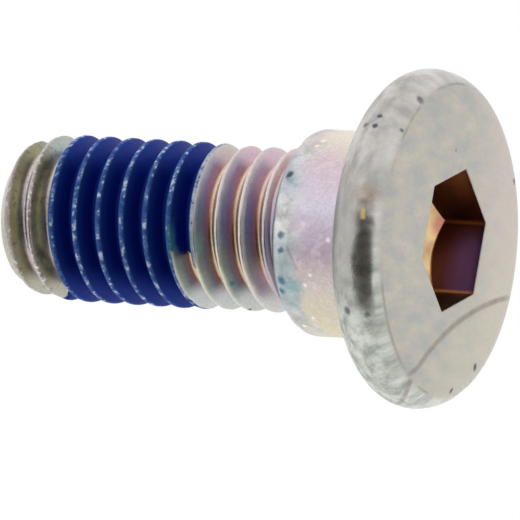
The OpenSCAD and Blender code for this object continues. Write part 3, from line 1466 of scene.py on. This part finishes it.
@dataclass(frozen=True)
class PaleFloor:
    """White floor paint, seen only from above and fading into the backdrop. Sizes in millimetres."""

    radius: float

    def material(self) -> bpy.types.Material:
        """Build the shader.

        Returns:
            The finished material.
        """
        made = bpy.data.materials.new("pale_floor")
        made.use_nodes = True
        g = Graph(made.node_tree)
        p = Place(g, ThreadForm())
        colour = g.mix(1.0, rgb(250, 250, 249), p.grain * 0.02 + 0.99, "MULTIPLY")
        paint = g.node("ShaderNodeBsdfDiffuse", None, {"Color": colour})
        clear = g.node("ShaderNodeBsdfTransparent")
        path = Num(g, g.node("ShaderNodeLightPath").outputs["Is Camera Ray"])
        below = Num(g, g.node("ShaderNodeNewGeometry").outputs["Backfacing"])
        share = path * (1.0 - below) * p.r.ease(self.radius, self.radius * 0.35)
        both = g.node("ShaderNodeMixShader", None, {0: share, 1: clear.outputs[0], 2: paint.outputs[0]})
        g.node("ShaderNodeOutputMaterial", None, {0: both.outputs[0]})
        return made


@dataclass
class Studio:
    """Camera, light and floor. Angles in degrees, lengths in millimetres."""

    lean: float = 26.628
    tilt: float = 3.507
    turn: float = 45.462
    shift: Point = (9.141, 0.912)
    distance: float = 500.0
    focal_px: float = 10664.97
    frame_px: float = 520.0
    flag_wide: float = 30.0
    flag_tall: float = 37.0
    flag_square: float = 3.0
    flag_soft: float = 0.25
    flag_side: float = 10.5
    flag_drop: float = 16.0
    flag_colour: Colour = (0.05, 0.039, 0.031)
    floor_r: float = 70.0
    floor_gap: float = 0.05

    def basis(self) -> Matrix:
        """Turn from the camera's own right, up and back to the screw's axes.

        Returns:
            The turn, its columns being right, up and back.
        """
        lean, tilt, turn = (math.radians(v) for v in (self.lean, self.tilt, self.turn))
        flat = Vector((-math.cos(tilt), math.sin(tilt), 0.0)) * math.cos(lean)
        axis = flat - Vector((0.0, 0.0, math.sin(lean)))
        up = Vector((math.sin(tilt), math.cos(tilt), 0.0))
        side = axis.cross(up)
        first = up * math.cos(turn) - side * math.sin(turn)
        second = up * math.sin(turn) + side * math.cos(turn)
        return Matrix((first, second, axis))

    def camera(self) -> bpy.types.Object:
        """Add the camera at the photograph's angle.

        Returns:
            The camera.
        """
        basis = self.basis()
        data = bpy.data.cameras.new("camera")
        data.sensor_width = 36.0
        data.lens = data.sensor_width * self.focal_px / self.frame_px
        data.clip_start = 0.01
        data.clip_end = 10.0
        obj = bpy.data.objects.new("camera", data)
        bpy.context.scene.collection.objects.link(obj)
        place = -(basis @ Vector((*self.shift, -self.distance))) * MM
        obj.matrix_world = Matrix.Translation(place) @ basis.to_4x4()
        bpy.context.scene.camera = obj
        return obj

    def world(self) -> None:
        """White all round, with a dark soft-edged flag on the camera's side."""
        world = bpy.data.worlds.new("studio")
        bpy.context.scene.world = world
        world.use_nodes = True
        g = Graph(world.node_tree)
        way = g.node("ShaderNodeTexCoord").outputs["Generated"]
        basis = self.basis()
        side, drop = math.tan(math.radians(self.flag_side)), math.tan(math.radians(self.flag_drop))
        flag = (basis @ Vector((-side, -drop, 1.0))).normalized()
        across = basis.col[1].cross(flag).normalized()
        ahead, wide, tall = (self._part(g, way, axis) for axis in (flag, across, flag.cross(across)))
        wide = abs(g.math("ARCTAN2", wide, ahead)) / math.radians(self.flag_wide)
        tall = abs(g.math("ARCTAN2", tall, ahead)) / math.radians(self.flag_tall)
        off = g.math("POWER", wide, self.flag_square) + g.math("POWER", tall, self.flag_square)
        off = g.math("POWER", off, 1.0 / self.flag_square)
        open_sky = off.ease(1.0 - self.flag_soft, 1.0 + self.flag_soft)
        light = g.mix(open_sky, self.flag_colour, WHITE)
        path = g.node("ShaderNodeLightPath")
        ways = [Num(g, path.outputs[name]) for name in ("Is Camera Ray", "Is Transmission Ray")]
        colour = g.mix(g.math("MAXIMUM", *ways), light, WHITE)
        back = g.node("ShaderNodeBackground", None, {"Color": colour, "Strength": 1.0})
        g.node("ShaderNodeOutputWorld", None, {0: back.outputs[0]})

    @staticmethod
    def _part(g: Graph, way: Feed, axis: Vector) -> Num:
        """How much of a direction lies along an axis."""
        made = g.node("ShaderNodeVectorMath", {"operation": "DOT_PRODUCT"}, {0: way, 1: tuple(axis)})
        return Num(g, made.outputs["Value"])

    def floor(self) -> bpy.types.Object:
        """Add the pale floor under the head; it is seen from above only and fades outwards.

        Returns:
            The floor.
        """
        Bench.clear()
        bpy.ops.mesh.primitive_circle_add(vertices=96, radius=self.floor_r, fill_type="NGON")
        obj = bpy.context.object
        obj.name = obj.data.name = "floor"
        Bench.edit(obj)
        bpy.ops.transform.translate(value=(0.0, 0.0, -self.floor_gap))
        Bench.finish(obj, 30.0, PaleFloor(self.floor_r).material())
        return obj

    def build(self) -> None:
        """Set up the studio."""
        self.camera()
        self.world()
        self.floor()
        bpy.context.scene.view_settings.view_transform = "Standard"


def main() -> None:
    """Build the screw and its film in order, dress them and set up the studio."""
    logging.basicConfig(level=logging.INFO, format="%(name)s: %(message)s")
    Studio().build()
    form = ThreadForm()

    screw = Blank().build()
    Bench.unite(screw, Thread(form).build())
    Bench.weld(screw)
    Bench.finish(screw, 32.0, PlatedSteel(form).material())
    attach(screw, "root")
    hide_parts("screw")
    log.info("screw: %d faces", len(screw.data.polygons))

    film = ThreadLockFilm(form).build()
    Bench.finish(film, 40.0, DriedThreadLock(form).material())
    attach(film, "root")
    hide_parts("thread_lock")
    log.info("film: %d faces", len(film.data.polygons))


if __name__ == "__main__":
    main()
